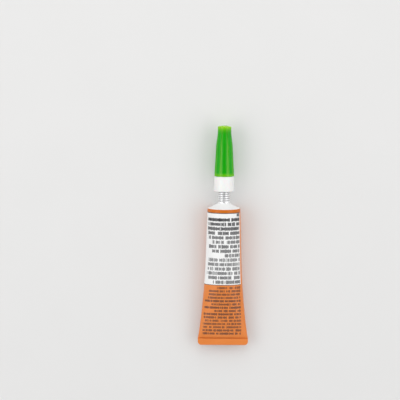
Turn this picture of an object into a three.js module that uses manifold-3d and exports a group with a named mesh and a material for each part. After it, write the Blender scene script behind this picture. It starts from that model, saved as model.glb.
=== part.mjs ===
// Tube of super glue, lying on its side with its nozzle started on the thread and its cap on.
// Millimetres, +Z up. Neck, nozzle and cap share one level axis along Y, with the cap towards +Y.
// Heights along that axis count from the rim, where the shoulder meets the sleeve.
import * as THREE from 'three';
import { mergeVertices } from 'three/addons/utils/BufferGeometryUtils.js';
import Module from 'manifold-3d';

// Sleeve: a round aluminium tube that is pressed flat at the tail.
const tubeDiameter = 19;
const sleeveWall = 0.15;
const sleeveLength = 79.6; // rim to the end of the fold
const straightLength = 31; // the stretch whose underside lies on the table
const restFlat = 3; // the level strip that the full sleeve has settled on
const heightLoss = 0.035; // what the sleeve's half height loses for each mm of that stretch
const closingPower = 0.5; // how bluntly the sleeve closes on the fold
const tailDrawIn = 0.3; // what each edge of the flattened tail falls short of the flat girth

// Shoulder and neck, one piece with the sleeve.
const rimRound = 0.8;
const shoulderHeight = 3.3;
const shoulderWall = 0.7;
const neckDiameter = 7;
const neckLength = 8.4;
const neckBore = 4.4;
const neckBevel = 0.35;
const membraneThickness = 0.15;
const membraneClearance = 0.3;

// Tail: the flattened end, lined with sealing compound and folded over to the front.
const foldHeight = 3.9;
const foldBend = 0.6; // metal at the bottom of the fold
const foldCorner = 1.2;
const lipThickness = 0.5;
const lipSlit = 0.3;
const sealThickness = 0.2;
const sealClearance = 0.15;
const slotCover = 0.3; // metal over the slot that holds the compound

// Contents, which leave the neck empty.
const gelClearance = 0.3;
const gelTailGap = 2;

// Nozzle: a skirt over the neck, a spike that pierces the membrane, a spigot for the cap, a tip.
const skirtDiameter = 11.7;
const skirtTopDiameter = 11.4;
const skirtOverNeck = 0.2; // how much taller the skirt is than the neck
const neckClearance = 0.3;
const seatClearance = 0.3; // between skirt and shoulder with the nozzle screwed tight
const roofClearance = 0.3; // above the neck, at the same time
const startEngagement = 1.3; // how far it is screwed on at rest
const edgeRound = 0.3;
const spikeLength = 3.6;
const spikeClearance = 0.8;
const spikeTipDiameter = 1.8;
const channelDiameter = 1.2;
const spigotLength = 5;
const spigotBevel = 0.5;
const tipStep = 1; // ledge between spigot and tip
const tipLength = 21.5;
const tipDiameter = 2.4;

// Cap: ribbed outside, shaped to the nozzle inside, with a pin that plugs the tip.
const capBodyDiameter = 9.7; // below its drawn-in top
const capTopDiameter = 7.8;
const capTopLength = 3.4; // the straight stretch at the top
const capDrawLength = 10; // the stretch over which it draws in
const capRibs = 8;
const ribWidth = 2.9;
const ribRoundness = 4; // 2 is a round rib, more is a flatter one
const capGroove = 0.5;
const capTopRound = 0.9;
const capWall = 0.7;
const capRoof = 1.4;
const capSeat = 0.1;
const capClearance = 0.25; // round the spigot
const tipClearance = 0.5; // round the tip
const tipGap = 1.4; // above the tip
const pinClearance = 0.25;
const pinReach = 1.6; // how far the pin stands in the tip's channel

// Facets round each piece, and rings along its curved stretches.
const sleeveSides = 48;
const nozzleSides = 36;
const capSides = 96;
const closingRings = 12;
const capRings = 6; // on the straight stretch and on the drawn-in one
const roundSteps = 4;

// Sizes that follow from the ones above.
const sleeveRadius = tubeDiameter / 2;
const neckRadius = neckDiameter / 2;
const boreRadius = neckBore / 2;
const neckTop = shoulderHeight + neckLength;
const crimpStation = sleeveLength - foldHeight;
const slotThickness = sealThickness + 2 * sealClearance;
const crimpThickness = slotThickness + 2 * sleeveWall;
const skirtHeight = neckLength + skirtOverNeck;
const capLength = spigotLength + tipLength + tipGap + capRoof - capSeat;
const nozzleFoot = neckTop - startEngagement;
const capFoot = nozzleFoot + skirtHeight + capSeat;
const middle = (capFoot + capLength - sleeveLength) / 2;

const { lerp, clamp, smoothstep } = THREE.MathUtils;
const at = (radius, height) => new THREE.Vector2(radius, height);

const wasm = await Module();
wasm.setup();

function closedSolid(geometry) {
  geometry.deleteAttribute('normal');
  geometry.deleteAttribute('uv');
  const merged = mergeVertices(geometry, 1e-5);
  return new wasm.Manifold(new wasm.Mesh({
    numProp: 3,
    vertProperties: merged.attributes.position.array,
    triVerts: new Uint32Array(merged.index.array),
  }));
}

function solidGeometry(solid) {
  const { numProp, vertProperties, triVerts } = solid.getMesh();
  const geometry = new THREE.BufferGeometry();
  geometry.setAttribute('position', new THREE.BufferAttribute(vertProperties, numProp));
  geometry.setIndex(new THREE.BufferAttribute(triVerts, 1));
  geometry.computeVertexNormals();
  return geometry;
}

// A rounded corner of a profile, centred at (radius, height), swept between two angles.
function round(radius, height, size, from, to) {
  const points = [];
  for (let step = 0; step <= roundSteps; step += 1) {
    const angle = lerp(from, to, step / roundSteps);
    points.push(at(radius + size * Math.cos(angle), height + size * Math.sin(angle)));
  }
  return points;
}

// Half the sleeve's height at a station: a slow loss over the straight stretch, then the closing.
function halfHeight(station) {
  const straight = sleeveRadius - heightLoss * station;
  const share = clamp((station - straightLength) / (crimpStation - straightLength), 0, 1);
  return Math.max(straight * (1 - share ** 2) ** closingPower, crimpThickness / 2);
}

function ellipseGirth(a, b) {
  const h = ((a - b) / (a + b)) ** 2;
  return Math.PI * (a + b) * (1 + (3 * h) / (10 + Math.sqrt(4 - 3 * h)));
}

// Pressing keeps the metal's girth, so half the width follows from half the height.
const girth = 2 * Math.PI * sleeveRadius;

function girthHalfWidth(height) {
  let low = 0;
  let high = girth / 4;
  for (let step = 0; step < 40; step += 1) {
    const guess = (low + high) / 2;
    if (ellipseGirth(guess, height) < girth) low = guess;
    else high = guess;
  }
  return low;
}

// The edges draw in a little as the metal creases, most of all at the tail.
const spread = girthHalfWidth(crimpThickness / 2) - sleeveRadius;
const halfWidth = (height) => lerp(sleeveRadius, girthHalfWidth(height), 1 - tailDrawIn / spread);

// The flat underneath stays level, so the sections sink below the axis towards the tail.
const flatTurn = Math.asin(restFlat / tubeDiameter);
const flatShare = Math.cos(flatTurn);
const axisHeight = sleeveRadius * flatShare;
const sink = (station) => -heightLoss * flatShare * clamp(station, 0, crimpStation);

// A body turned on the axis, flattened underneath, and pressed into the sleeve's sections.
function pressedLathe(profile) {
  const geometry = new THREE.LatheGeometry(profile, sleeveSides, Math.PI / sleeveSides);
  const { position } = geometry.attributes;
  for (let i = 0; i < position.count; i += 1) {
    const station = -position.getY(i);
    const radius = Math.hypot(position.getX(i), position.getZ(i));
    const turn = Math.atan2(position.getX(i), position.getZ(i));
    const lastTurn = radius > neckRadius ? Math.PI - flatTurn : Math.PI;
    const settledTurn = clamp(turn, -lastTurn, lastTurn);
    const height = halfHeight(station);
    const depth = sleeveRadius - radius;
    let across = radius;
    let up = radius;
    if (station > 0) {
      across = radius > depth ? halfWidth(height) - depth : 0;
      up = radius > depth ? height - depth : 0;
    }
    position.setX(i, across * Math.sin(settledTurn));
    position.setZ(i, up * Math.cos(settledTurn) + sink(station));
  }
  return geometry;
}

// Profile points along the sleeve from rim to tail, closer together where it closes.
function alongSleeve(radius, last) {
  const points = [at(radius, -straightLength / 2)];
  for (let ring = 0; ring <= closingRings; ring += 1) {
    const share = Math.sin((ring / closingRings) * (Math.PI / 2));
    points.push(at(radius, -lerp(straightLength, last, share)));
  }
  return points;
}

function box(width, length, height, y, z) {
  return closedSolid(new THREE.BoxGeometry(width, length, height).translate(0, y, z));
}

// Fold: a block with round lower corners, slit from above so that its front layer is a free lip.
const tailHalfWidth = halfWidth(crimpThickness / 2);
const crimpMiddle = sink(crimpStation);
const bendTop = -sleeveLength + foldBend;

function foldSolid() {
  const cornerX = tailHalfWidth - foldCorner;
  const cornerY = -sleeveLength + foldCorner;
  const plan = new THREE.Shape();
  plan.moveTo(tailHalfWidth, -crimpStation);
  plan.lineTo(-tailHalfWidth, -crimpStation);
  plan.absarc(-cornerX, cornerY, foldCorner, Math.PI, 1.5 * Math.PI);
  plan.absarc(cornerX, cornerY, foldCorner, 1.5 * Math.PI, 2 * Math.PI);
  const block = new THREE.ExtrudeGeometry(plan, {
    depth: crimpThickness + lipSlit + lipThickness,
    bevelEnabled: false,
    curveSegments: roundSteps,
  });
  block.translate(0, 0, crimpMiddle - crimpThickness / 2);
  const slitZ = crimpMiddle + (crimpThickness + lipSlit) / 2;
  const slit = box(3 * tailHalfWidth, 2 * foldHeight, lipSlit, bendTop + foldHeight, slitZ);
  return closedSolid(block).subtract(slit);
}

// The compound's slot lies inside the fold and opens into the end of the sleeve's hollow.
const slotTop = -crimpStation - slotCover;
const slotMiddle = (slotTop + bendTop) / 2;
const slotLength = slotTop - bendTop;
const sealWidth = 2 * (tailHalfWidth - foldCorner - sealClearance);

const inside = sleeveRadius - sleeveWall;
const innerFoot = shoulderHeight - shoulderWall;
const hollowEnd = crimpStation + 2 * slotCover;
const sleeveEnd = crimpStation + 3 * slotCover;

function tubeGeometry() {
  const slope = Math.atan2(shoulderHeight, sleeveRadius - neckRadius);
  const body = pressedLathe([
    at(0, -sleeveEnd),
    at(sleeveRadius, -sleeveEnd),
    ...alongSleeve(sleeveRadius, hollowEnd).reverse(),
    ...round(sleeveRadius - rimRound, 0, rimRound, 0, Math.PI / 2 - slope),
    at(neckRadius, shoulderHeight),
    at(neckRadius, neckTop - neckBevel),
    at(neckRadius - neckBevel, neckTop),
    at(0, neckTop),
  ]);
  const hollow = pressedLathe([
    at(0, -hollowEnd),
    ...alongSleeve(inside, hollowEnd).reverse(),
    at(inside, -shoulderWall),
    at(boreRadius, innerFoot),
    at(boreRadius, neckTop + neckBevel),
    at(0, neckTop + neckBevel),
  ]);
  const slotWidth = sealWidth + 2 * sealClearance;
  const slot = box(slotWidth, slotLength, slotThickness, slotMiddle, crimpMiddle);
  const folded = closedSolid(body).add(foldSolid());
  return solidGeometry(folded.subtract(closedSolid(hollow)).subtract(slot));
}

function sealMembraneGeometry() {
  const radius = boreRadius - membraneClearance;
  const under = neckTop - membraneThickness;
  const profile = [at(0, under), at(radius, under), at(radius, neckTop), at(0, neckTop)];
  return new THREE.LatheGeometry(profile, nozzleSides);
}

function endSealGeometry() {
  const strip = new THREE.BoxGeometry(sealWidth, slotLength - 2 * sealClearance, sealThickness);
  return strip.translate(0, slotMiddle, crimpMiddle);
}

function glueGelGeometry() {
  const radius = inside - gelClearance;
  const top = innerFoot - gelClearance;
  const last = crimpStation - gelTailGap;
  return pressedLathe([
    at(0, -last),
    ...alongSleeve(radius, last).reverse(),
    at(radius, -shoulderWall - 2 * gelClearance),
    at(boreRadius - gelClearance, top),
    at(0, top),
  ]);
}

// The cap drafts from the skirt's width to the body's, then draws in to its straight top.
const drawEnd = capLength - capTopLength;
const drawStart = drawEnd - capDrawLength;

function capRadius(height) {
  const body = lerp(skirtTopDiameter, capBodyDiameter, Math.min(height / drawStart, 1));
  return lerp(body, capTopDiameter, smoothstep(height, drawStart, drawEnd)) / 2;
}

const spigotRadius = capRadius(spigotLength) - capGroove - capWall - capClearance;
const tipFootRadius = spigotRadius - tipStep;
const tipRadius = tipDiameter / 2;
const channelRadius = channelDiameter / 2;

// Heights on the nozzle and the cap count from their own feet.
function nozzleGeometry() {
  const skirtRadius = skirtDiameter / 2;
  const ledgeRadius = skirtTopDiameter / 2;
  const threadRadius = neckRadius + neckClearance;
  const roof = neckLength - seatClearance + roofClearance;
  const spigotTop = skirtHeight + spigotLength;
  const tipTop = spigotTop + tipLength;
  const profile = [
    at(threadRadius + edgeRound, 0),
    ...round(skirtRadius - edgeRound, edgeRound, edgeRound, -Math.PI / 2, 0),
    ...round(ledgeRadius - edgeRound, skirtHeight - edgeRound, edgeRound, 0, Math.PI / 2),
    at(spigotRadius, skirtHeight),
    at(spigotRadius, spigotTop - spigotBevel),
    at(spigotRadius - spigotBevel, spigotTop),
    at(tipFootRadius, spigotTop),
    ...round(tipRadius - edgeRound, tipTop - edgeRound, edgeRound, 0, Math.PI / 2),
    at(channelRadius, tipTop),
    at(channelRadius, roof - spikeLength),
    at(spikeTipDiameter / 2, roof - spikeLength),
    at(boreRadius - spikeClearance, roof),
    at(threadRadius, roof),
    at(threadRadius, edgeRound),
    at(threadRadius + edgeRound, 0),
  ];
  return new THREE.LatheGeometry(profile, nozzleSides);
}

function capOutside() {
  const points = [];
  for (let ring = 0; ring <= 2 * capRings; ring += 1) {
    const share = ring / capRings;
    const height = share < 1 ? share * drawStart : lerp(drawStart, drawEnd, share - 1);
    points.push(at(capRadius(height), height));
  }
  const edgeRadius = capTopDiameter / 2 - capTopRound;
  const edge = round(edgeRadius, capLength - capTopRound, capTopRound, 0, Math.PI / 2);
  return [...points, ...edge, at(0, capLength)];
}

function capInside() {
  const roof = capLength - capRoof;
  const pinRadius = channelRadius - pinClearance;
  const pinEnd = roof - tipGap - pinReach;
  const spigotBore = spigotRadius + capClearance;
  return [
    at(0, pinEnd),
    at(pinRadius, pinEnd),
    at(pinRadius, roof),
    at(tipRadius + tipClearance, roof),
    at(tipFootRadius + tipClearance, spigotLength + tipStep),
    at(spigotBore, spigotLength),
    at(spigotBore, 0),
  ];
}

// How far a rib stands at a point off its middle line, from 0 at its edge to 1.
function ribCrown(turn, height) {
  const spacing = (2 * Math.PI) / capRibs;
  const offMiddle = Math.abs(turn - spacing * Math.round(turn / spacing)) * capRadius(height);
  const share = Math.min((2 * offMiddle) / ribWidth, 1);
  return (1 - share ** ribRoundness) ** (1 / ribRoundness);
}

// Grooves divide the cap's outside into ribs of one width, one of them at the front.
function capGeometry() {
  const inner = capInside();
  const profile = [...inner, ...capOutside()];
  const geometry = new THREE.LatheGeometry(profile, capSides);
  const { position } = geometry.attributes;
  const grooveShare = capGroove / capRadius(0);
  for (let i = 0; i < position.count; i += 1) {
    const isOutside = i % profile.length >= inner.length;
    const turn = Math.atan2(position.getX(i), position.getZ(i));
    const scale = isOutside ? 1 - grooveShare * (1 - ribCrown(turn, position.getY(i))) : 1;
    position.setX(i, position.getX(i) * scale);
    position.setZ(i, position.getZ(i) * scale);
  }
  return geometry;
}

const part = new THREE.Group();

function addPiece(name, geometry, foot, look) {
  const mesh = new THREE.Mesh(geometry, new THREE.MeshStandardMaterial(look));
  mesh.name = name;
  mesh.position.set(0, foot - middle, axisHeight);
  part.add(mesh);
}

addPiece('tube', tubeGeometry(), 0, { color: 0xe8873c, roughness: 0.35, metalness: 0.2 });
addPiece('seal_membrane', sealMembraneGeometry(), 0, { color: 0xd8d9da, roughness: 0.3, metalness: 1 });
addPiece('end_seal', endSealGeometry(), 0, { color: 0xcfc6a8, roughness: 0.6, metalness: 0 });
addPiece('glue_gel', glueGelGeometry(), 0, { color: 0xe6e3d8, roughness: 0.15, metalness: 0 });
addPiece('nozzle', nozzleGeometry(), nozzleFoot, { color: 0xf7f7f4, roughness: 0.4, metalness: 0 });
addPiece('cap', capGeometry(), capFoot, { color: 0x2ca01a, roughness: 0.35, metalness: 0 });

export default part;
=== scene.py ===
import bisect
import functools
import math

import bmesh
import bpy
from mathutils import Matrix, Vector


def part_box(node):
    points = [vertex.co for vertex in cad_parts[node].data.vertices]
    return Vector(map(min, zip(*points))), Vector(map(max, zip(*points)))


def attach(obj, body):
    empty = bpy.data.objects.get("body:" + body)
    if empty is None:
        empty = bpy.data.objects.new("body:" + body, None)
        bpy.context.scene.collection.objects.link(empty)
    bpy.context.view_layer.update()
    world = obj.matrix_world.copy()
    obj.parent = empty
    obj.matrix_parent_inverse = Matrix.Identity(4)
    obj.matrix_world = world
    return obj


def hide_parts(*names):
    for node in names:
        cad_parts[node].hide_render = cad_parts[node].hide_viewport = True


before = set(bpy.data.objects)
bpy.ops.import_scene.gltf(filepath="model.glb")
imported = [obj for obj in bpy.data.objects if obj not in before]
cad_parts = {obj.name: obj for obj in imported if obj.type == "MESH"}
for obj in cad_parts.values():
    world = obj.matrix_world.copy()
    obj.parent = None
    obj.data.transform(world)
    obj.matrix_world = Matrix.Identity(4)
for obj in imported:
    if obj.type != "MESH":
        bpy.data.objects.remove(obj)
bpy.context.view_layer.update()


# Tube: sleeve, shoulder and neck are one soft aluminium wall, impact-extruded from a slug. White
# enamel covers sleeve and shoulder, and the sleeve is printed while it is round. Once it is filled,
# its tail is pressed flat and folded. Sizes are in mm, and a station is a distance below the rim.
sleeve_radius = 9.479
sleeve_wall = 0.15
sleeve_steps = 144
straight_length = 31.0
height_loss = 0.035
closing_power = 0.5
tail_draw_in = 0.3
rest_flat = 3.0
crimp_station = 75.7
crimp_thickness = 0.8
rim_round = 0.8
shoulder_height = 3.3
shoulder_wall = 0.7
shoulder_swell = 0.12
neck_radius = 3.49
neck_top = 11.7
neck_fillet = 0.45
neck_bevel = 0.35
neck_round = 0.3
neck_bore = 2.2
thread_pitch = 1.25
thread_depth = 0.42
axis_height = sum(corner.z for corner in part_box("nozzle")) / 2
rim_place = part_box("tube")[1].y - neck_top * 0.001


def smooth_share(value, start, end):
    """How far value has come from start to end, eased at both."""
    share = min(max((value - start) / (end - start), 0), 1)
    return share * share * (3 - 2 * share)


def corner_arc(radius, height, size, first, last, steps=6):
    """(radius, height) points of a rounded edge, from one angle to another in degrees."""
    turns = [math.radians(first + (last - first) * step / steps) for step in range(steps + 1)]
    return [(radius + size * math.cos(turn), height + size * math.sin(turn)) for turn in turns]


def turned(profile, steps, closed):
    """A mesh turned on the tube's axis, which is Y, from a profile of (radius, height)."""
    bm = bmesh.new()
    line = [bm.verts.new((0, height, radius)) for radius, height in profile]
    edges = [bm.edges.new(pair) for pair in zip(line, line[1:])]
    if closed:
        edges.append(bm.edges.new((line[-1], line[0])))
    bmesh.ops.spin(
        bm, geom=line + edges, cent=(0, 0, 0), axis=(0, 1, 0), dvec=(0, 0, 0),
        angle=2 * math.pi, steps=steps, use_merge=True, use_duplicate=False,
    )
    bmesh.ops.remove_doubles(bm, verts=bm.verts, dist=1e-4)
    bmesh.ops.recalc_face_normals(bm, faces=bm.faces)
    return bm


def set_down(bm, name, foot, *finishes):
    """The finished piece, with its mesh moved to where its foot stands on the axis, in metres."""
    place = Matrix.Translation((0, foot, axis_height)) @ Matrix.Scale(0.001, 4)
    bmesh.ops.transform(bm, matrix=place, verts=bm.verts)
    for face in bm.faces:
        face.smooth = True
    mesh = bpy.data.meshes.new(name)
    bm.to_mesh(mesh)
    bm.free()
    mesh.set_sharp_from_angle(angle=math.radians(38))
    for material in finishes:
        mesh.materials.append(material)
    piece = bpy.data.objects.new(name, mesh)
    bpy.context.collection.objects.link(piece)
    return piece


def shoulder_rise(radius):
    """Height of the shoulder's cone above the rim."""
    return shoulder_height * (sleeve_radius - radius) / (sleeve_radius - neck_radius)


def off_crest(spot):
    """How far a point lies from the thread's crest: 0 on it, and 1 midway between two turns."""
    phase = (spot.y / thread_pitch - math.atan2(spot.x, spot.z) / (2 * math.pi)) % 1
    return abs(phase - 0.5) * 2


def half_height(station):
    """Half the sleeve's height at a station."""
    share = min(max((station - straight_length) / (crimp_station - straight_length), 0), 1)
    round_height = sleeve_radius - height_loss * station
    return max(round_height * (1 - share ** 2) ** closing_power, crimp_thickness / 2)


def ellipse_girth(a, b):
    h = ((a - b) / (a + b)) ** 2
    return math.pi * (a + b) * (1 + 3 * h / (10 + math.sqrt(4 - 3 * h)))


@functools.cache
def girth_half_width(height):
    """Half the width of a pressed section, which keeps the girth of the round one."""
    girth = 2 * math.pi * sleeve_radius
    low, high = 0, girth / 4
    for _ in range(40):
        middle = (low + high) / 2
        low, high = (middle, high) if ellipse_girth(middle, height) < girth else (low, middle)
    return low


tail_spread = girth_half_width(crimp_thickness / 2) - sleeve_radius


def half_width(height):
    """Half the width of a section, with the little that the metal draws in towards the tail."""
    spread = girth_half_width(height) - sleeve_radius
    return sleeve_radius + spread * (1 - tail_draw_in / tail_spread)


quarter_steps = 240


@functools.cache
def quarter_lengths(width, height):
    """Lengths of metal along a quarter of a pressed section, from its front to its edge."""
    lengths = [0]
    for step in range(quarter_steps):
        turn = (step + 0.5) / quarter_steps * math.pi / 2
        lengths.append(lengths[-1] + math.hypot(width * math.cos(turn), height * math.sin(turn)))
    return lengths


def pressed_turn(width, height, turn):
    """Where a point of the round sleeve comes to lie on the pressed section."""
    lengths = quarter_lengths(width, height)
    share = 1 - abs(1 - abs(turn) / (math.pi / 2))
    wanted = share * lengths[-1]
    step = min(bisect.bisect_right(lengths, wanted), quarter_steps)
    passed = (wanted - lengths[step - 1]) / (lengths[step] - lengths[step - 1])
    quarter = (step - 1 + passed) / quarter_steps * math.pi / 2
    return math.copysign(quarter if abs(turn) <= math.pi / 2 else math.pi - quarter, turn)


flat_share = math.cos(math.asin(rest_flat / 2 / sleeve_radius))


def sink(station):
    """How far a section's middle lies below the axis, so that the underside stays level."""
    return -height_loss * flat_share * min(max(station, 0), crimp_station)


# Soft dents from handling: place across the front, station, reach and depth.
dents = [
    (-4.6, 57.0, 6.5, 0.30),
    (5.2, 51.0, 7.0, 0.22),
    (1.0, 66.5, 5.0, 0.28),
    (-6.0, 38.0, 8.0, 0.14),
]
# Creases from pressing the tail: place at the fold, drift for each mm above it, length and depth.
creases = [
    (-10.2, 0.24, 13, 0.20),
    (-4.4, 0.10, 9, 0.13),
    (2.2, -0.06, 10, 0.15),
    (8.9, -0.26, 14, 0.22),
]
crease_width = 1.1

straight_steps = 15
closing_steps = 44
closing_length = crimp_station - straight_length
stations = [straight_length * step / straight_steps for step in range(straight_steps)]
for step in range(closing_steps + 1):
    stations.append(straight_length + closing_length * math.sin(step / closing_steps * math.pi / 2))

slope = math.degrees(math.atan2(shoulder_height, sleeve_radius - neck_radius))
outside = [(sleeve_radius, -station) for station in reversed(stations)]
shoulder = corner_arc(sleeve_radius - rim_round, 0, rim_round, 0, 90 - slope)[1:]
shoulder += [(radius, shoulder_rise(radius) + shoulder_swell) for radius in (7.2, 5.4)]
neck = corner_arc(neck_radius + neck_fillet, shoulder_height + 0.5, neck_fillet, 270 - slope, 180, 4)
neck += [(neck_radius, shoulder_height + 0.55 + step * thread_pitch / 11) for step in range(66)]
neck += [(neck_radius, neck_top - neck_bevel)]
neck += corner_arc(neck_radius - neck_round, neck_top - neck_round, neck_round, 15, 90, 4)
inside = [(neck_bore + 0.1, neck_top), (neck_bore, neck_top - 0.1)]
inside += [(neck_bore, shoulder_height - shoulder_wall), (sleeve_radius - sleeve_wall, -shoulder_wall)]
inside += [(sleeve_radius - sleeve_wall, -station) for station in stations[1::3]]
tube_mesh = turned(outside + shoulder + neck + inside, sleeve_steps, closed=True)

print_width = 60
print_length = 80
wrap = tube_mesh.loops.layers.uv.new("wrap")
wear = tube_mesh.verts.layers.float.new("edge_wear")
root = tube_mesh.verts.layers.float.new("thread_root")
for face in tube_mesh.faces:
    middle = face.calc_center_median()
    radius = math.hypot(middle.x, middle.z)
    if middle.y < 0:
        coated = radius > sleeve_radius - sleeve_wall / 2
    else:
        on_top = middle.y > shoulder_rise(radius) - shoulder_wall / 2
        coated = on_top and radius > neck_radius + neck_fillet
    face.material_index = 0 if coated else 1
    for loop in face.loops:
        spot = loop.vert.co
        turn = math.atan2(spot.x, spot.z)
        turn += 2 * math.pi * round((math.atan2(middle.x, middle.z) - turn) / (2 * math.pi))
        loop[wrap].uv = (0.5 + turn * sleeve_radius / print_width, -spot.y / print_length)

for vert in tube_mesh.verts:
    station = -vert.co.y
    radius = math.hypot(vert.co.x, vert.co.z)
    if station >= 0:
        depth = sleeve_radius - radius
        height = half_height(station)
        width = half_width(height)
        lean = pressed_turn(width, height, math.atan2(vert.co.x, vert.co.z))
        across = (width - depth) * math.sin(lean)
        up = max((height - depth) * math.cos(lean), -(height - depth) * flat_share)
        dent = sum(
            deep * math.exp(-((across - left) ** 2 + (station - down) ** 2) / reach ** 2)
            for left, down, reach, deep in dents
        )
        fold_gap = crimp_station - station
        dent *= smooth_share(fold_gap, 1, 8)
        for foot, drift, length, deep in creases:
            off_line = (across - foot - drift * fold_gap) / crease_width
            fade = smooth_share(fold_gap, 0.3, 2) * smooth_share(fold_gap, length, 2)
            dent += deep * math.exp(-off_line ** 2) * fade
        vert.co.x = across
        vert.co.z = up - dent * (up > 0) + sink(station)
        vert[wear] = 0.7 * smooth_share(abs(across) / width, 0.985, 1) * smooth_share(station, 40, 72)
    elif abs(radius - neck_radius) < 0.01 and vert.co.y > shoulder_height + 0.5:
        depth = thread_depth * smooth_share(off_crest(vert.co), 0.3, 0.8)
        depth *= smooth_share(vert.co.y, shoulder_height + 0.6, shoulder_height + 1.6)
        depth *= smooth_share(neck_top - vert.co.y, 0.3, 1.1)
        # How deep the point lies in the thread, kept for the painted shade in the thread's roots.
        vert[root] = depth / thread_depth
        vert.co.x *= (radius - depth) / radius
        vert.co.z *= (radius - depth) / radius
    elif radius > neck_radius + 0.5:
        vert.co.z = max(vert.co.z, -sleeve_radius * flat_share)

# Fold: a strip's outline, swept across the tail. It runs down the back, round the foot, up to the
# free edge of the lip in front, and back through the slot between the layers.
fold_foot = 79.6
fold_corner = 2.2
corner_cuts = 6
fold_steps = 40
bend_radius = 0.55
layer_half = crimp_thickness / 2
lip_back = 0.7
lip_front = 1.2
fold_top = crimp_station - 0.3
plain_station = 79
tail_half_width = half_width(layer_half)
fold_middle = sink(crimp_station)
sleeve_verts = set(tube_mesh.verts)
outline = [(fold_top, -layer_half)]
outline += corner_arc(fold_foot - bend_radius, bend_radius - layer_half, bend_radius, -90, 0, 4)
outline += corner_arc(fold_foot - bend_radius, lip_front - bend_radius, bend_radius, 0, 90, 4)
outline += [(crimp_station + 0.25, lip_front), (crimp_station + 0.08, 1.14)]
outline += [(crimp_station, 0.98), (crimp_station + 0.04, 0.8), (crimp_station + 0.2, 0.72)]
outline += [(fold_foot - 0.85, lip_back), (fold_foot - 0.74, 0.62), (fold_foot - 0.74, 0.48)]
outline += [(fold_foot - 0.85, layer_half), (fold_top, layer_half)]
line = [tube_mesh.verts.new((-tail_half_width, -down, fold_middle + up)) for down, up in outline]
edges = [tube_mesh.edges.new(pair) for pair in zip(line, line[1:] + line[:1])]
bmesh.ops.spin(
    tube_mesh, geom=line + edges, cent=(0, 0, 0), axis=(1, 0, 0),
    dvec=(2 * tail_half_width / fold_steps, 0, 0), angle=0, steps=fold_steps,
)


def fold_parts():
    """The fold's own vertices, edges and faces in the tube's mesh."""
    verts = [vert for vert in tube_mesh.verts if vert not in sleeve_verts]
    edges = [edge for edge in tube_mesh.edges if edge.verts[0] not in sleeve_verts]
    faces = [face for face in tube_mesh.faces if face.verts[0] not in sleeve_verts]
    return verts, edges, faces


fold_verts, fold_edges, fold_faces = fold_parts()
fold_ends = [edge for edge in fold_edges if edge.is_boundary]
bmesh.ops.holes_fill(tube_mesh, edges=fold_ends, sides=0)
for step in range(corner_cuts):
    cut = fold_foot - fold_corner * (1 - math.sin(step / corner_cuts * math.pi / 2))
    fold_verts, fold_edges, fold_faces = fold_parts()
    bmesh.ops.bisect_plane(
        tube_mesh, geom=fold_verts + fold_edges + fold_faces,
        plane_co=(0, -cut, 0), plane_no=(0, 1, 0), dist=1e-5,
    )
fold_verts, fold_edges, fold_faces = fold_parts()
bmesh.ops.recalc_face_normals(tube_mesh, faces=fold_faces)
for vert in fold_verts:
    down = -vert.co.y
    share = vert.co.x / tail_half_width
    up = vert.co.z - fold_middle
    if up < 0.5:
        flare = smooth_share(down, fold_top, crimp_station + 1.1)
        vert.co.z = fold_middle + up * (flare + (1 - flare) * math.sqrt(max(1 - share * share, 0.04)))
    corner = max(down - (fold_foot - fold_corner), 0)
    corner_width = math.sqrt(max(fold_corner ** 2 - corner ** 2, 0))
    vert.co.x = share * (tail_half_width - fold_corner + corner_width)
    lip = smooth_share(up, 0.6, 0.8) * smooth_share(crimp_station + 0.9 - down, 0, 0.8)
    vert.co.y += lip * 0.07 * math.sin(share * 5.1 + 0.6) - lip * 0.08
    foot_wear = smooth_share(down, fold_foot - 0.5, fold_foot)
    end_wear = smooth_share(abs(share), 0.97, 1)
    vert[wear] = 0.6 * max(foot_wear, end_wear, 0.4 * lip)
for face in fold_faces:
    face.material_index = 0
    for loop in face.loops:
        loop[wrap].uv = (0.5 + loop.vert.co.x / print_width, plain_station / print_length)


def joined(nodes, kind, *feeds, out=0, **options):
    """Adds a node, feeds its inputs in order by values or by other nodes, and returns its output."""
    node = nodes.new("ShaderNode" + kind)
    for name, value in options.items():
        setattr(node, name, value)
    for place, feed in enumerate(feeds):
        if isinstance(feed, bpy.types.NodeSocket):
            nodes.id_data.links.new(feed, node.inputs[place])
        elif feed is not None:
            node.inputs[place].default_value = feed
    return node.outputs[out]


def reckon(nodes, operation, *feeds):
    return joined(nodes, "Math", *feeds, operation=operation)


def laid_over(nodes, share, under, over):
    """One colour over another by a share."""
    unused = (None,) * 5
    return joined(nodes, "Mix", share, *unused, under, over, data_type="RGBA", out=2)


def ramp(nodes, value, low, high, to_low=0.0, to_high=1.0):
    """A value carried from one span to another, and held at its ends."""
    return joined(nodes, "MapRange", value, low, high, to_low, to_high)


def new_finish(name, **settings):
    """A material with the values that are the same all over it, its nodes, shader and places."""
    material = bpy.data.materials.new(name)
    material.use_nodes = True
    nodes = material.node_tree.nodes
    shader = nodes["Principled BSDF"]
    for socket, value in settings.items():
        shader.inputs[socket.replace("_", " ").title().replace("Ior", "IOR")].default_value = value
    spots = nodes.new("ShaderNodeTexCoord").outputs["Object"]
    return material, nodes, shader, spots


def grain(nodes, spots, size, detail=2.0, stretch=None):
    """Even noise whose marks are about so many mm across."""
    if stretch:
        spots = joined(nodes, "Mapping", spots, None, None, stretch)
    return joined(nodes, "TexNoise", spots, None, 1000.0 / size, detail)


def feed(nodes, shader, socket, value):
    nodes.id_data.links.new(value, shader.inputs[socket])


def rough_surface(nodes, shader, height, strength, depth):
    """Bump of so many metres on a shader."""
    feed(nodes, shader, "Normal", joined(nodes, "Bump", strength, depth, None, height))


stroke_width = 0.27
dash_width = 0.8
print_right = 10.9


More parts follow.
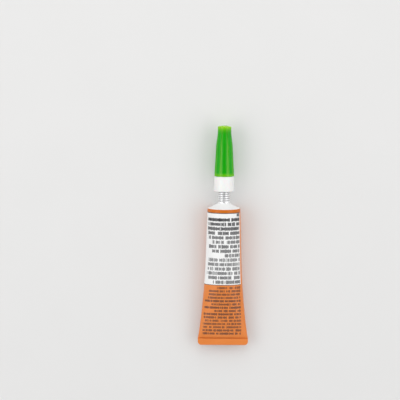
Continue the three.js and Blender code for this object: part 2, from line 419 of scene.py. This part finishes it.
def rows_of_dashes(nodes, across, along, top, pitch, tall, rows):
    """Plain rows of short dashes. Each row has a left end and a weight."""
    place = reckon(nodes, "DIVIDE", reckon(nodes, "SUBTRACT", along, top), pitch)
    number = reckon(nodes, "FLOOR", place)
    off_middle = reckon(nodes, "SUBTRACT", reckon(nodes, "FRACT", place), 0.5)
    table = nodes.new("ShaderNodeValToRGB")
    stops = table.color_ramp.elements
    stops.remove(stops[1])
    table.color_ramp.interpolation = "CONSTANT"
    for step, (left, weight) in enumerate(rows):
        stop = stops.new(step / len(rows)) if step else stops[0]
        stop.color = (left / 30 + 0.5, weight, 0, 1)
    row_share = reckon(nodes, "DIVIDE", reckon(nodes, "ADD", number, 0.5), len(rows))
    nodes.id_data.links.new(row_share, table.inputs[0])
    row_left, row_weight, _ = joined(nodes, "SeparateColor", table.outputs[0]).node.outputs
    seed = reckon(nodes, "ADD", number, top)
    shift = joined(nodes, "TexWhiteNoise", None, seed, noise_dimensions="1D")
    slid = reckon(nodes, "ADD", across, reckon(nodes, "MULTIPLY", shift, 40))
    cells = []
    for width in (stroke_width, dash_width):
        column = reckon(nodes, "FLOOR", reckon(nodes, "DIVIDE", slid, width))
        chance = joined(nodes, "TexWhiteNoise", joined(nodes, "CombineXYZ", column, number, top), out=1)
        cells.append(joined(nodes, "SeparateColor", chance).node.outputs)
    stroke, dash = cells
    half_tall = ramp(nodes, stroke[1], 0, 1, tall * 0.35 / pitch, tall * 0.61 / pitch)
    marks = reckon(nodes, "LESS_THAN", reckon(nodes, "ABSOLUTE", off_middle), half_tall)
    for share in (
        reckon(nodes, "GREATER_THAN", stroke[0], ramp(nodes, row_weight, 0.5, 1, 0.115, 0)),
        reckon(nodes, "GREATER_THAN", dash[0], 0.075),
        reckon(nodes, "GREATER_THAN", across, ramp(nodes, row_left, 0, 1, -15, 15)),
        reckon(nodes, "LESS_THAN", across, print_right),
        reckon(nodes, "GREATER_THAN", number, -0.5),
        reckon(nodes, "LESS_THAN", number, len(rows) - 0.5),
        ramp(nodes, stroke[2], 0, 1, 0.85, 1),
        ramp(nodes, row_weight, 0.3, 1, 0.7, 1),
    ):
        marks = reckon(nodes, "MULTIPLY", marks, share)
    return marks


# Left end from the front's middle and weight of each row: on the white panel and below it.
panel_rows = [
    (8.0, 0.9), (-11.4, 1.0), (-11.4, 0.85), (-11.4, 0.85), (-10.8, 0.75), (-10.8, 0.65),
    (-7.1, 0.6), (-9.7, 0.65), (-7.1, 0.6), (0.5, 0.5), (-9.7, 0.4), (-10.2, 0.5),
    (-10.6, 0.5), (-11.0, 0.55), (-9.7, 0.55), (-6.3, 0.6),
]
tail_rows = [
    (-3.8, 0.3), (-10.4, 0.35), (-9.0, 0.35), (-9.6, 0.35), (-11.8, 0.5), (-7.0, 0.4),
    (-12.0, 0.55), (-5.2, 0.45), (-12.0, 0.5), (-12.2, 0.4), (-11.0, 0.3), (-12.2, 0.3),
    (-12.2, 0.3), (-12.2, 0.4), (-12.2, 0.45),
]
ring_end = 1.6
line_top, line_bottom = 1.35, 43.7
panel_top, panel_bottom = 1.85, 43.35
panel_middle = -1.5
panel_half_width = 12.9
enamel_foot = rim_place + 0.00048
orange_ink = (0.80, 0.245, 0.052, 1)
orange_shade = (0.755, 0.22, 0.042, 1)
ring_ink = (0.62, 0.15, 0.002, 1)
enamel_white = (0.91, 0.91, 0.905, 1)
line_ink = (0.13, 0.085, 0.06, 1)
panel_ink = (0.02, 0.02, 0.025, 1)
tail_ink = (0.028, 0.026, 0.032, 1)
worn_metal = (0.66, 0.65, 0.63, 1)

printed_sleeve, nodes, shader, spots = new_finish(
    "printed_sleeve", specular_ior_level=0.28, coat_weight=0.06, coat_roughness=0.2,
)
flat_print = joined(nodes, "SeparateXYZ", joined(nodes, "UVMap", uv_map="wrap")).node.outputs
across = ramp(nodes, flat_print[0], 0, 1, -print_width / 2, print_width / 2)
along = ramp(nodes, flat_print[1], 0, 1, 0, print_length)
cloud = grain(nodes, spots, 14, 3)
colour = laid_over(nodes, ramp(nodes, cloud, 0.35, 0.7), orange_ink, orange_shade)
colour = laid_over(nodes, reckon(nodes, "LESS_THAN", along, ring_end), colour, ring_ink)
from_middle = reckon(nodes, "ABSOLUTE", reckon(nodes, "SUBTRACT", across, panel_middle))
in_width = reckon(nodes, "LESS_THAN", from_middle, panel_half_width)
for top, bottom, ink in ((line_top, line_bottom, line_ink), (panel_top, panel_bottom, enamel_white)):
    below = reckon(nodes, "GREATER_THAN", along, top)
    above = reckon(nodes, "LESS_THAN", along, bottom)
    in_length = reckon(nodes, "MULTIPLY", below, above)
    colour = laid_over(nodes, reckon(nodes, "MULTIPLY", in_width, in_length), colour, ink)
panel_print = rows_of_dashes(nodes, across, along, top=1.5, pitch=2.6, tall=1.95, rows=panel_rows)
colour = laid_over(nodes, panel_print, colour, panel_ink)
tail_print = rows_of_dashes(nodes, across, along, top=44.2, pitch=1.96, tall=1.3, rows=tail_rows)
colour = laid_over(nodes, tail_print, colour, tail_ink)
height = joined(nodes, "SeparateXYZ", spots).node.outputs[1]
on_shoulder = reckon(nodes, "GREATER_THAN", height, enamel_foot)
colour = laid_over(nodes, on_shoulder, colour, enamel_white)
worn = joined(nodes, "Attribute", attribute_name="edge_wear", out=2)
flakes = reckon(nodes, "ADD", reckon(nodes, "MULTIPLY", worn, 0.34), grain(nodes, spots, 0.5, 4))
scuffed = ramp(nodes, flakes, 0.82, 0.88)
feed(nodes, shader, "Base Color", laid_over(nodes, scuffed, colour, worn_metal))
feed(nodes, shader, "Metallic", reckon(nodes, "MULTIPLY", scuffed, 0.35))
feed(nodes, shader, "Roughness", ramp(nodes, grain(nodes, spots, 3, 4), 0.3, 0.7, 0.30, 0.42))
fine_ripples = reckon(nodes, "MULTIPLY", grain(nodes, spots, 0.35, 2), 0.02)
ripples = reckon(nodes, "ADD", grain(nodes, spots, 9, 2), fine_ripples)
rough_surface(nodes, shader, ripples, 0.5, 0.0004)

metal_dull = (0.89, 0.893, 0.90, 1)
metal_bright = (0.95, 0.95, 0.95, 1)
painted_root_shade = (0.38, 0.38, 0.39, 1)
bare_aluminium, nodes, shader, spots = new_finish("bare_aluminium", metallic=0.8)
place = joined(nodes, "SeparateXYZ", spots).node.outputs
rise = reckon(nodes, "SUBTRACT", place[2], axis_height)
squares = [reckon(nodes, "POWER", length, 2) for length in (place[0], rise)]
out_from_axis = reckon(nodes, "SQRT", reckon(nodes, "ADD", *squares))
finely = reckon(nodes, "MULTIPLY", out_from_axis, 4200)
turned_marks = joined(nodes, "TexNoise", None, finely, 1.0, 3.0, noise_dimensions="1D")
colour = laid_over(nodes, ramp(nodes, turned_marks, 0.3, 0.7), metal_dull, metal_bright)
# Painted shade: the thread's roots are darkened by how deep each point lies between the turns.
thread_root = joined(nodes, "Attribute", attribute_name="thread_root", out=2)
colour = laid_over(nodes, reckon(nodes, "MULTIPLY", thread_root, 0.7), colour, painted_root_shade)
feed(nodes, shader, "Base Color", colour)
feed(nodes, shader, "Roughness", ramp(nodes, turned_marks, 0.25, 0.75, 0.36, 0.48))
rough_surface(nodes, shader, turned_marks, 0.25, 0.00004)

tube = set_down(tube_mesh, "tube_shell", rim_place, printed_sleeve, bare_aluminium)
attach(tube, "tube_body")
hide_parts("tube")


# Membrane: the thin blind end that the extrusion leaves across the neck's bore.
# It is bare aluminium, dished a little inwards, and the nozzle's spike tears it open.
dish_front = [(0, 0.36), (0.9, 0.33), (1.6, 0.22), (2.05, 0.08), (2.25, 0.06)]
dish_back = [(2.25, 0.2), (2.0, 0.23), (1.55, 0.36), (0.9, 0.47), (0, 0.5)]
dish = [(radius, neck_top - depth) for radius, depth in dish_front + dish_back]
membrane = set_down(turned(dish, 64, closed=False), "neck_membrane", rim_place, bare_aluminium)
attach(membrane, "tube_body")
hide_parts("seal_membrane")


# Gel: the thick clear-to-milky glue that fills the sleeve from the tail before it is folded.
# It keeps the shape that the filling leaves, with small bubbles in it.
gel_clear = (0.80, 0.78, 0.71, 1)
gel_milky = (0.87, 0.86, 0.82, 1)
bubble_white = (0.93, 0.93, 0.91, 1)
gel, nodes, shader, spots = new_finish(
    "glue_gel", roughness=0.08, subsurface_weight=0.4, subsurface_scale=0.003,
)
bubbles = joined(nodes, "TexVoronoi", spots, None, 700.0)
colour = laid_over(nodes, ramp(nodes, grain(nodes, spots, 6), 0.35, 0.7), gel_clear, gel_milky)
colour = laid_over(nodes, ramp(nodes, bubbles, 0.16, 0.05), colour, bubble_white)
feed(nodes, shader, "Base Color", colour)
rough_surface(nodes, shader, bubbles, 0.2, 0.0002)
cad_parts["glue_gel"].data.materials.clear()
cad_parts["glue_gel"].data.materials.append(gel)


# End seal: a band of latex compound, sprayed inside the tail before it is pressed shut.
# It fills the slot in the fold and keeps moist air away from the glue.
latex_dark = (0.55, 0.49, 0.36, 1)
latex_pale = (0.66, 0.60, 0.46, 1)
latex, nodes, shader, spots = new_finish("sealing_compound", roughness=0.62)
mottle = grain(nodes, spots, 1.2, 4)
colour = laid_over(nodes, ramp(nodes, mottle, 0.3, 0.7), latex_dark, latex_pale)
feed(nodes, shader, "Base Color", colour)
rough_surface(nodes, shader, mottle, 0.3, 0.00005)
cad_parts["end_seal"].data.materials.clear()
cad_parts["end_seal"].data.materials.append(latex)


# Nozzle: one white polypropylene moulding that screws on the neck. A smooth skirt holds the thread
# and the hollow spike, and the spigot above it carries the cap and the long tapered tip.
skirt_radius = 5.84
skirt_mouth = 4.15
skirt_height = 8.6
skirt_round = 0.3
ledge_radius = 5.69
thread_bore = 3.8
bore_ridge = 0.22
spigot_radius = 3.96
spigot_top = 13.6
spigot_round = 0.4
tip_foot = 2.96
tip_top = 35.1
tip_radius = 1.19
tip_round = 0.28
tip_steps = 8
channel_radius = 0.6
nozzle_roof = 8.4
spike_foot = 4.8
white_shade = (0.86, 0.86, 0.845, 1)
white_light = (0.90, 0.90, 0.89, 1)
nozzle_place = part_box("nozzle")[0].y

skirt = [(skirt_mouth, 0.0)] + corner_arc(skirt_radius - skirt_round, skirt_round, skirt_round, -90, 0)
skirt += [(skirt_radius - 0.05, 3.0), (skirt_radius - 0.1, 6.0)]
skirt += corner_arc(ledge_radius - skirt_round, skirt_height - skirt_round, skirt_round, 0, 90)
spigot = [(spigot_radius + 0.15, skirt_height), (spigot_radius, skirt_height + 0.12)]
spigot += [(spigot_radius, spigot_top - 0.5)]
spigot += corner_arc(spigot_radius - spigot_round, spigot_top - spigot_round, spigot_round, 0, 90)
tip = [(tip_foot + 0.2, spigot_top), (tip_foot, spigot_top + 0.2)]
for step in range(1, tip_steps):
    tip_height = spigot_top + (tip_top - spigot_top) * step / tip_steps
    tip.append((tip_foot + (tip_radius - tip_foot) * step / tip_steps, tip_height))
tip += corner_arc(tip_radius - tip_round, tip_top - tip_round, tip_round, 5, 90)
hollow = [(channel_radius + 0.1, tip_top), (channel_radius, tip_top - 0.1), (channel_radius, spike_foot)]
hollow += [(0.88, spike_foot + 0.05), (1.4, nozzle_roof - 0.15), (1.55, nozzle_roof)]
hollow += [(thread_bore - 0.2, nozzle_roof), (thread_bore, nozzle_roof - 0.2)]
hollow += [(thread_bore, nozzle_roof - 0.5 - step * thread_pitch / 10) for step in range(58)]
hollow += corner_arc(skirt_mouth, 0.35, 0.35, 180, 270, 4)[:-1]
nozzle_mesh = turned(skirt + spigot + tip + hollow, 96, closed=True)
for vert in nozzle_mesh.verts:
    radius = math.hypot(vert.co.x, vert.co.z)
    if abs(radius - thread_bore) < 0.01 and vert.co.y < nozzle_roof - 0.4:
        ridge = bore_ridge * smooth_share(off_crest(vert.co), 0.8, 0.35)
        ridge *= smooth_share(vert.co.y, 0.5, 1.4) * smooth_share(nozzle_roof - vert.co.y, 0.5, 1.2)
        vert.co.x *= (radius - ridge) / radius
        vert.co.z *= (radius - ridge) / radius

white_plastic, nodes, shader, spots = new_finish(
    "white_plastic", subsurface_weight=0.15, subsurface_scale=0.0015,
)
flow = grain(nodes, spots, 5, 3, stretch=(1, 0.25, 1))
colour = laid_over(nodes, ramp(nodes, flow, 0.3, 0.7), white_shade, white_light)
feed(nodes, shader, "Base Color", colour)
feed(nodes, shader, "Roughness", ramp(nodes, grain(nodes, spots, 1.5, 3), 0.3, 0.7, 0.34, 0.46))
rough_surface(nodes, shader, grain(nodes, spots, 0.25, 2), 0.12, 0.00003)
nozzle = set_down(nozzle_mesh, "nozzle_moulding", nozzle_place, white_plastic)
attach(nozzle, "nozzle_body")
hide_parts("nozzle")


# Cap: one green polypropylene moulding, pushed over the spigot. Eight round ribs of one width give
# it grip, its top draws in until they meet, and a pin inside it plugs the tip's channel.
cap_foot_radius = 5.69
cap_body_radius = 4.845
cap_top_radius = 3.895
cap_length = 29.2
cap_rim = 28.65
cap_round = 0.45
draw_start, draw_end = 15.8, 25.8
rib_count = 8
rib_spacing = 2 * math.pi / rib_count
rib_width = 2.85
rib_roundness = 4
notch_drop = 0.7
groove_depth = 0.5
spigot_bore = 4.23
green_shade = (0.006, 0.36, 0.0005, 1)
green_light = (0.012, 0.40, 0.001, 1)
painted_groove_light = (0.21, 0.57, 0.035, 1)
painted_end_light = (0.34, 0.71, 0.006, 1)
painted_notch_light = (0.6, 0.85, 0.2, 1)
cap_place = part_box("cap")[0].y


def cap_radius(height):
    body = cap_foot_radius + (cap_body_radius - cap_foot_radius) * min(height / draw_start, 1)
    return body + (cap_top_radius - body) * smooth_share(height, draw_start, draw_end)


cap_outside = [(cap_radius(0) - 0.18, 0), (cap_radius(0) - 0.05, 0.05), (cap_radius(0.18), 0.18)]
cap_outside += [(cap_radius(height), height) for height in range(1, 15, 2)]
cap_outside += [(cap_radius(height), height) for height in range(15, 27)]
cap_outside += [(cap_top_radius, cap_rim - 0.9)]
cap_outside += corner_arc(cap_top_radius - cap_round, cap_rim - cap_round, cap_round, 0, 90)
cap_outside += [(1.5, cap_length - 0.1), (0, cap_length)]
pin = [(0, 24.8), (0.2, 24.8), (0.34, 24.95), (0.35, 27.6), (0.5, 27.8)]
cap_inside = pin + [(1.5, 27.8), (1.7, 27.6), (3.47, 6.0), (3.6, 5.75)]
cap_inside += [(spigot_bore, 5.0), (spigot_bore, 0.3), (spigot_bore + 0.2, 0)]
cap_mesh = turned(cap_inside + cap_outside, 24 * rib_count, closed=False)
groove = cap_mesh.verts.layers.float.new("groove")
for vert in cap_mesh.verts:
    radius = math.hypot(vert.co.x, vert.co.z)
    full_radius = cap_radius(vert.co.y)
    if radius > 0.93 * full_radius - 0.5 * smooth_share(vert.co.y, cap_rim - cap_round, cap_rim):
        turn = math.atan2(vert.co.x, vert.co.z)
        off_rib = abs(turn - rib_spacing * round(turn / rib_spacing)) * full_radius
        crown = (1 - min(2 * off_rib / rib_width, 1) ** rib_roundness) ** (1 / rib_roundness)
        share = 1 - groove_depth / full_radius * (1 - crown)
        vert[groove] = 1 - crown
        vert.co.y -= notch_drop * (1 - crown) * smooth_share(vert.co.y, cap_rim - 1.2, cap_rim - 0.1)
        vert.co.x *= share
        vert.co.z *= share

green_plastic, nodes, shader, spots = new_finish(
    "green_plastic", specular_ior_level=0.24, subsurface_weight=0.15, subsurface_scale=0.0012,
)
height = joined(nodes, "SeparateXYZ", spots).node.outputs[1]
flow = grain(nodes, spots, 4, 3, stretch=(1, 0.2, 1))
colour = laid_over(nodes, ramp(nodes, flow, 0.3, 0.7), green_shade, green_light)
# Painted light: the grooves are lighter and more lime, as if light shone through the thin plastic there.
groove_light_share = joined(nodes, "Attribute", attribute_name="groove", out=2)
colour = laid_over(nodes, ramp(nodes, groove_light_share, 0.04, 0.8, 0, 0.4), colour, painted_groove_light)
# Painted light: the cap's foot and top are lighter and more lime, as if light shone through the thin
# plastic at its ends.
foot_light_share = ramp(nodes, height, cap_place + 0.0022, cap_place, 0, 0.52)
top_light_share = reckon(nodes, "POWER", ramp(nodes, height, cap_place + 0.0235, cap_place + 0.0287), 3)
colour = laid_over(nodes, reckon(nodes, "MAXIMUM", foot_light_share, top_light_share), colour, painted_end_light)
# Painted light: the notches between the ribs at the top get a pale lime, lifting the shade that falls in
# them.
colour = laid_over(nodes, reckon(nodes, "MULTIPLY", groove_light_share, top_light_share), colour, painted_notch_light)
feed(nodes, shader, "Base Color", colour)
feed(nodes, shader, "Roughness", ramp(nodes, grain(nodes, spots, 1.2, 3), 0.3, 0.7, 0.17, 0.24))
rough_surface(nodes, shader, grain(nodes, spots, 0.3, 2), 0.12, 0.00003)
cap = set_down(cap_mesh, "cap_moulding", cap_place, green_plastic)
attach(cap, "cap_body")
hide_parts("cap")


# Floor, light and camera: a pale table seen from above, a little from the cap's end,
# with soft boxes at both sides and ahead, and a pale room that is darker straight above.
table_shade = (0.765, 0.762, 0.756, 1)
table_light = (0.785, 0.782, 0.776, 1)
table_mesh = bmesh.new()
bmesh.ops.create_grid(table_mesh, x_segments=8, y_segments=8, size=3.0)
table_data = bpy.data.meshes.new("table_top")
table_mesh.to_mesh(table_data)
table_mesh.free()
table_paint, nodes, shader, spots = new_finish("table_paint", roughness=0.7)
feed(nodes, shader, "Base Color", laid_over(nodes, grain(nodes, spots, 40), table_shade, table_light))
table_data.materials.append(table_paint)
table_top = bpy.data.objects.new("table_top", table_data)
bpy.context.collection.objects.link(table_top)

fill_strength = 0.62
wall_strength = 0.88
ceiling_strength = 0.12
room = bpy.data.worlds.new("pale_room")
room.use_nodes = True
nodes = room.node_tree.nodes
seen = nodes.new("ShaderNodeLightPath").outputs
mirrored = reckon(nodes, "MAXIMUM", seen["Is Glossy Ray"], seen["Is Transmission Ray"])
looked_at = reckon(nodes, "MAXIMUM", seen["Is Camera Ray"], mirrored)
way = nodes.new("ShaderNodeTexCoord").outputs["Generated"]
upward = joined(nodes, "SeparateXYZ", way).node.outputs[2]
shown = ramp(nodes, upward, 0.72, 0.97, wall_strength, ceiling_strength)
strength = joined(nodes, "Mix", looked_at, None, fill_strength, shown, data_type="FLOAT")
feed(nodes, nodes["Background"], "Strength", strength)
nodes["Background"].inputs["Color"].default_value = (1, 1, 1, 1)
bpy.context.scene.world = room

for name, place, turn, watts in (
    ("left_soft_box", (-0.55, 0.02, 0.55), (0, -45, 0), 1.6),
    ("right_soft_box", (0.55, 0.02, 0.55), (0, 45, 0), 1.45),
    ("front_soft_box", (0, 0.62, 0.55), (-47, 0, 0), 1.5),
):
    lamp = bpy.data.lights.new(name, "AREA")
    lamp.shape = "RECTANGLE"
    lamp.size = 0.45
    lamp.size_y = 0.8
    lamp.energy = watts
    soft_box = bpy.data.objects.new(name, lamp)
    soft_box.location = place
    soft_box.rotation_euler = [math.radians(angle) for angle in turn]
    bpy.context.collection.objects.link(soft_box)

view_distance = 1.281
view_tilt = math.radians(5.6)
view_roll = math.radians(0.4)
view_middle = (-0.0147, 0.0208, 0.0094)
lens = bpy.data.cameras.new("view_from_above")
lens.lens = 200
lens.sensor_width = 36
camera = bpy.data.objects.new("view_from_above", lens)
camera.location = (
    view_middle[0],
    view_middle[1] + view_distance * math.sin(view_tilt),
    view_middle[2] + view_distance * math.cos(view_tilt),
)
camera.rotation_euler = (-view_tilt, 0, view_roll)
bpy.context.collection.objects.link(camera)
bpy.context.scene.camera = camera
bpy.context.scene.view_settings.view_transform = "Standard"
